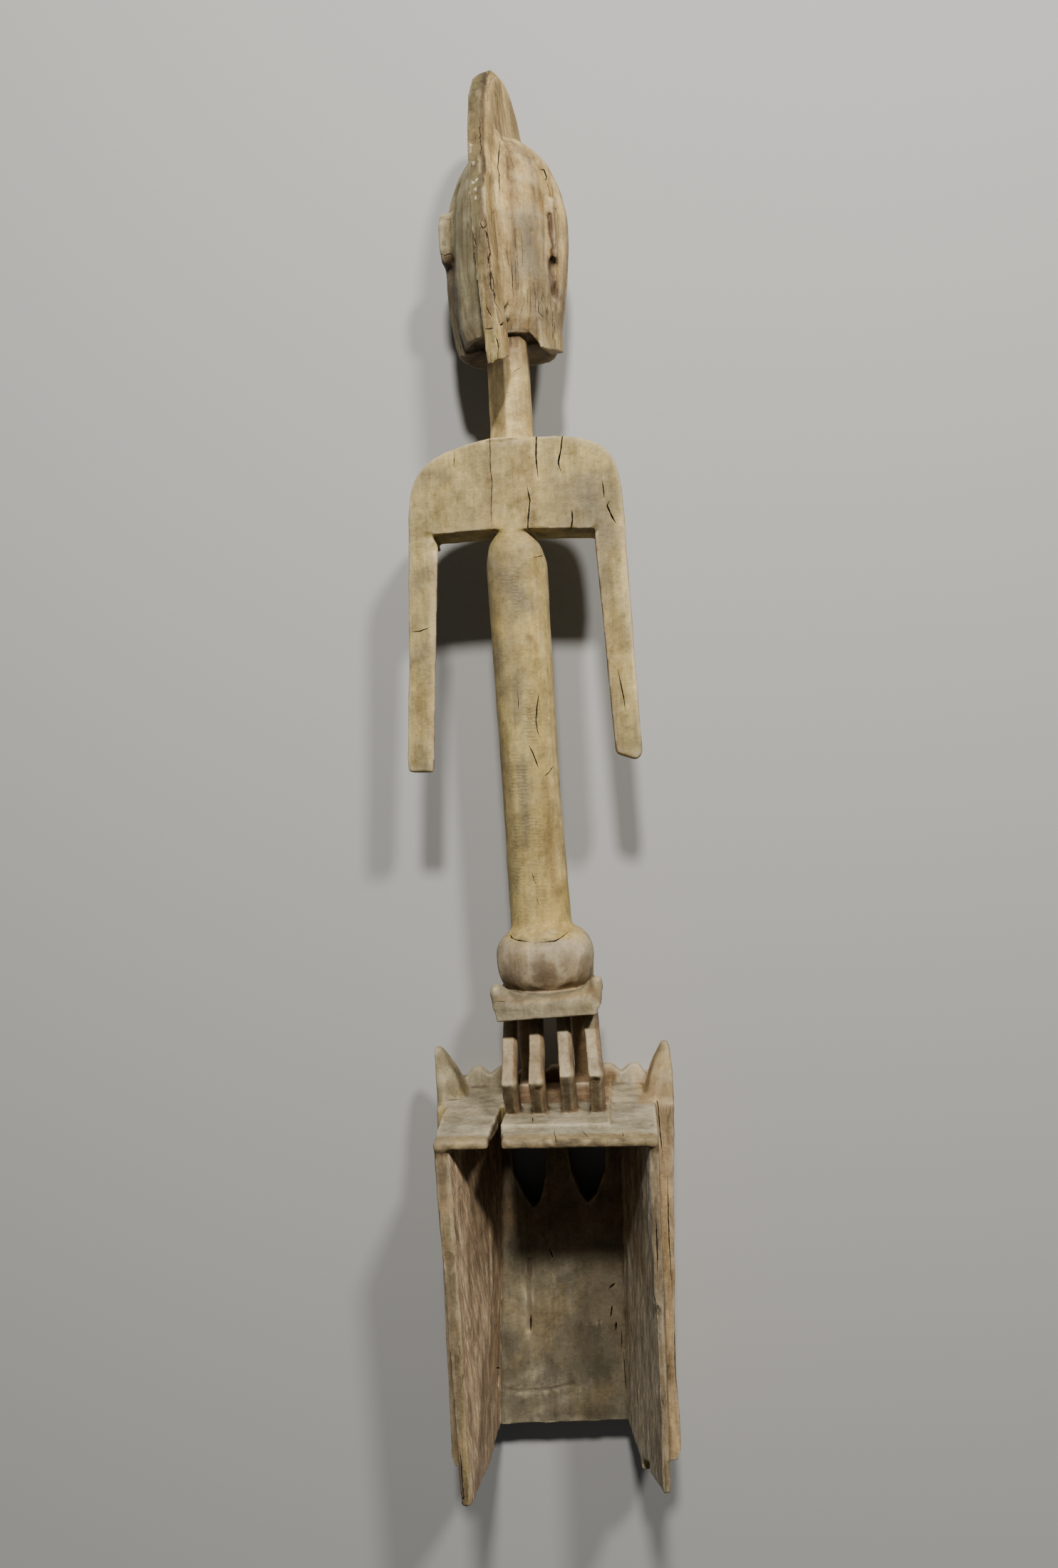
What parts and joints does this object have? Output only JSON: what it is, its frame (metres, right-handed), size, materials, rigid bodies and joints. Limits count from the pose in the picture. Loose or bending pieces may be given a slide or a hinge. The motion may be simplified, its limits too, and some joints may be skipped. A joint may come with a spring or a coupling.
{
  "type": "satimbe mask",
  "caption": "Carved wooden dance mask, lying on its face: a box over the wearer's head with pointed eye holes, horns and a toothed comb, and above it a woman seated on a stool.",
  "frame": {"origin": "middle of the mask's outline, on the surface that its face lies on", "axes": "+X across the mask, +Y from the box towards the woman's head, +Z from the face to the open back"},
  "size_m": [0.22, 1.2512, 0.205],
  "materials": {
    "wood": "bare, weathered and matt"
  },
  "bodies": {
    "root": {"satimbe_mask": "wood"}
  },
  "joints": []
}
